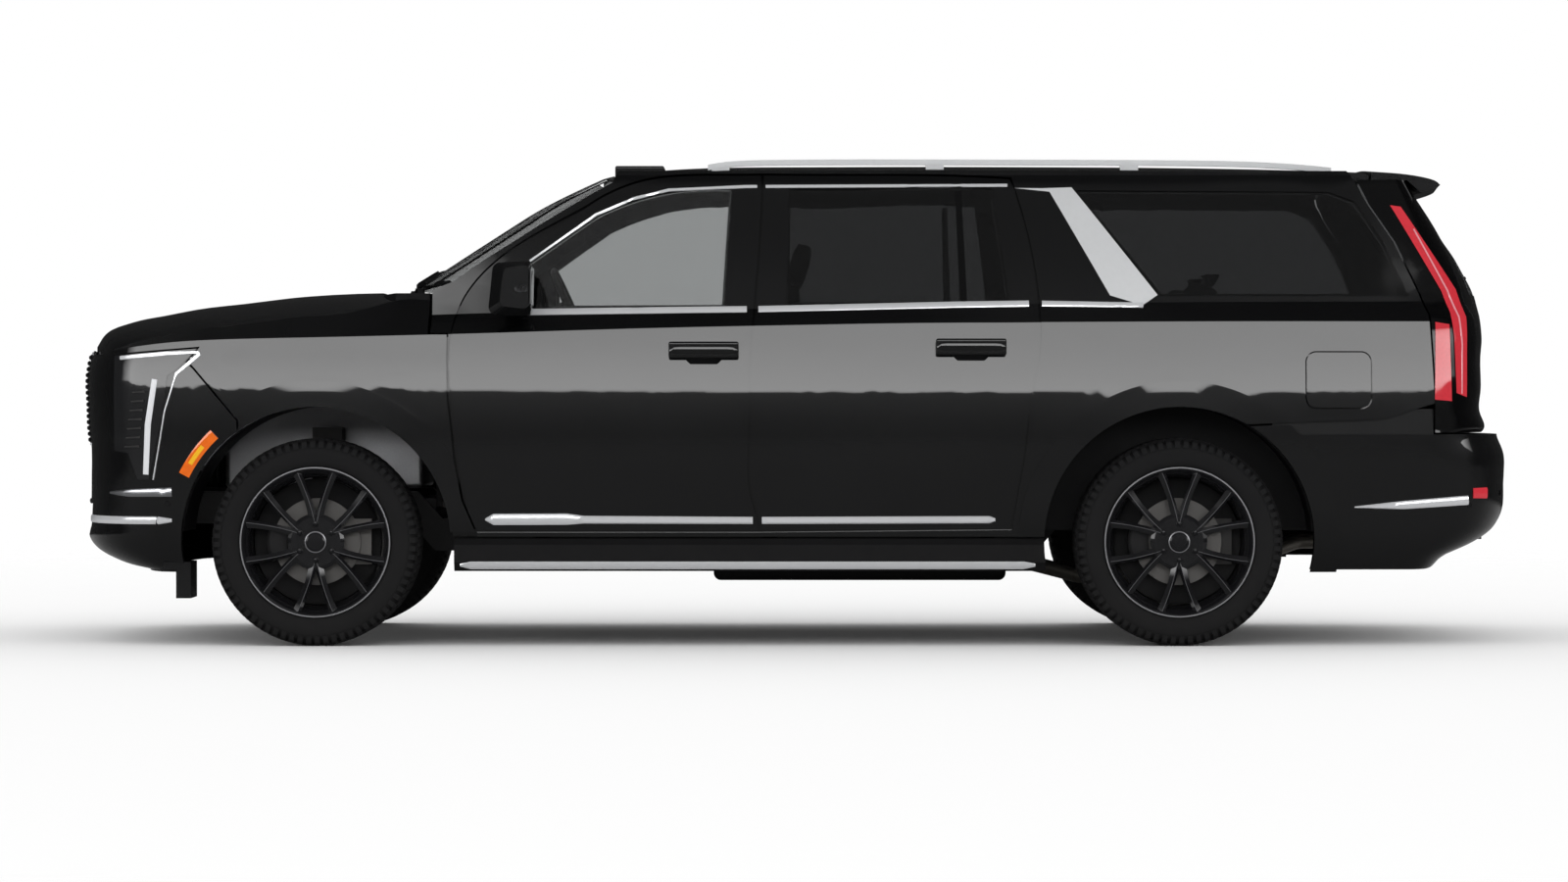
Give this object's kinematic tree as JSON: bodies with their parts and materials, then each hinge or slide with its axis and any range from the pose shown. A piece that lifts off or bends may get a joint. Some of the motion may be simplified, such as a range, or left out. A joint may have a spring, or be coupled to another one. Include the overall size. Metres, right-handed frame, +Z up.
{
  "type": "full-size suv",
  "caption": "Full-size sport utility vehicle with opening doors, hood and tailgate, rolling and steering wheels and a long cabin.",
  "frame": {"origin": "on the ground under the middle of the vehicle", "axes": "+X to the rear, +Y to the vehicle's right, +Z up"},
  "size_m": [5.7652, 2.3088, 1.938],
  "materials": {
    "paint": "gloss",
    "gloss_black": "gloss",
    "front_glass": "clear",
    "dark_glass": "tinted",
    "lamp_lens": "gloss",
    "red_lens": "gloss",
    "bright_trim": "polished",
    "black_plastic": "matte",
    "tyre": "matte",
    "wheel_alloy": "gloss",
    "cast_iron": "rough",
    "frame_steel": "satin",
    "engine_alloy": "cast",
    "exhaust_steel": "satin",
    "leather": "soft"
  },
  "bodies": {
    "vehicle": {"body_sides": "paint", "quarter_glass": "dark_glass", "front_fenders": "paint", "front_bumper": "paint", "head_lamps": "lamp_lens", "grille": "bright_trim", "cowl_firewall": "black_plastic", "windshield": "front_glass", "roof": "paint", "roof_rails": "bright_trim", "pillar_blades": "bright_trim", "rear_bumper": "paint", "rear_corners": "gloss_black", "tail_lamps": "red_lens", "chassis_frame": "frame_steel", "front_suspension": "frame_steel", "rear_suspension": "frame_steel", "wheel_liners": "black_plastic", "floor": "frame_steel", "fuel_tank": "black_plastic", "engine": "engine_alloy", "exhaust": "exhaust_steel", "running_boards": "black_plastic", "front_seats": "leather", "middle_seats": "leather", "rear_seat": "leather", "dashboard": "black_plastic", "radiator": "engine_alloy"},
    "hood": {"hood": "paint"},
    "tailgate": {"tailgate": "paint", "tailgate_glass": "dark_glass", "spoiler": "paint"},
    "door_fl": {"door_front_left": "paint", "glass_front_left": "front_glass", "mirror_left": "paint"},
    "door_fr": {"door_front_right": "paint", "glass_front_right": "front_glass", "mirror_right": "paint"},
    "door_rl": {"door_rear_left": "paint", "glass_rear_left": "dark_glass"},
    "door_rr": {"door_rear_right": "paint", "glass_rear_right": "dark_glass"},
    "knuckle_l": {"knuckle_left": "cast_iron"},
    "knuckle_r": {"knuckle_right": "cast_iron"},
    "wheel_fl": {"tyre_front_left": "tyre", "rim_front_left": "wheel_alloy"},
    "wheel_fr": {"tyre_front_right": "tyre", "rim_front_right": "wheel_alloy"},
    "wheel_rl": {"tyre_rear_left": "tyre", "rim_rear_left": "wheel_alloy"},
    "wheel_rr": {"tyre_rear_right": "tyre", "rim_rear_right": "wheel_alloy"},
    "steering": {"steering_wheel": "leather"},
    "fuel_flap": {"fuel_door": "paint"}
  },
  "joints": [
    {"name": "steer_left", "type": "hinge", "parent": "vehicle", "child": "knuckle_l", "pos_m": [-1.893, -0.772, 0.41], "axis": [0, 0, 1], "range_deg": [-30, 30]},
    {"name": "steer_right", "type": "hinge", "parent": "vehicle", "child": "knuckle_r", "pos_m": [-1.893, 0.772, 0.41], "axis": [0, 0, 1], "range_deg": [-30, 30]},
    {"name": "steering_wheel_turn", "type": "hinge", "parent": "vehicle", "child": "steering", "pos_m": [-0.905, -0.4, 1.325], "axis": [0.9135, 0, 0.4067], "range_deg": [-450, 450]},
    {"name": "spin_front_left", "type": "hinge", "parent": "knuckle_l", "child": "wheel_fl", "pos_m": [-1.893, -0.872, 0.41], "axis": [0, 1, 0], "continuous": true},
    {"name": "spin_front_right", "type": "hinge", "parent": "knuckle_r", "child": "wheel_fr", "pos_m": [-1.893, 0.872, 0.41], "axis": [0, 1, 0], "continuous": true},
    {"name": "spin_rear_left", "type": "hinge", "parent": "vehicle", "child": "wheel_rl", "pos_m": [1.514, -0.872, 0.41], "axis": [0, 1, 0], "continuous": true},
    {"name": "spin_rear_right", "type": "hinge", "parent": "vehicle", "child": "wheel_rr", "pos_m": [1.514, 0.872, 0.41], "axis": [0, 1, 0], "continuous": true},
    {"name": "front_door_left", "type": "hinge", "parent": "vehicle", "child": "door_fl", "pos_m": [-1.3655, -1.0315, 0.9], "axis": [0, 0, -1], "range_deg": [0, 65]},
    {"name": "front_door_right", "type": "hinge", "parent": "vehicle", "child": "door_fr", "pos_m": [-1.3655, 1.0315, 0.9], "axis": [0, 0, 1], "range_deg": [0, 65]},
    {"name": "rear_door_left", "type": "hinge", "parent": "vehicle", "child": "door_rl", "pos_m": [-0.1885, -1.0315, 0.9], "axis": [0, 0, -1], "range_deg": [0, 65]},
    {"name": "rear_door_right", "type": "hinge", "parent": "vehicle", "child": "door_rr", "pos_m": [-0.1885, 1.0315, 0.9], "axis": [0, 0, 1], "range_deg": [0, 65]},
    {"name": "hood_lift", "type": "hinge", "parent": "vehicle", "child": "hood", "pos_m": [-1.585, 0, 1.416], "axis": [0, 1, 0], "range_deg": [0, 50]},
    {"name": "tailgate_lift", "type": "hinge", "parent": "vehicle", "child": "tailgate", "pos_m": [2.297, 0, 1.912], "axis": [0, -1, 0], "range_deg": [0, 80]},
    {"name": "fuel_door_turn", "type": "hinge", "parent": "vehicle", "child": "fuel_flap", "pos_m": [2.008, -1.022, 1.05], "axis": [0, 0, -1], "range_deg": [0, 100]}
  ],
  "couplings": [
    {"joint": "steer_right", "follows": "steer_left", "ratio": 1},
    {"joint": "steering_wheel_turn", "follows": "steer_left", "ratio": 15}
  ]
}
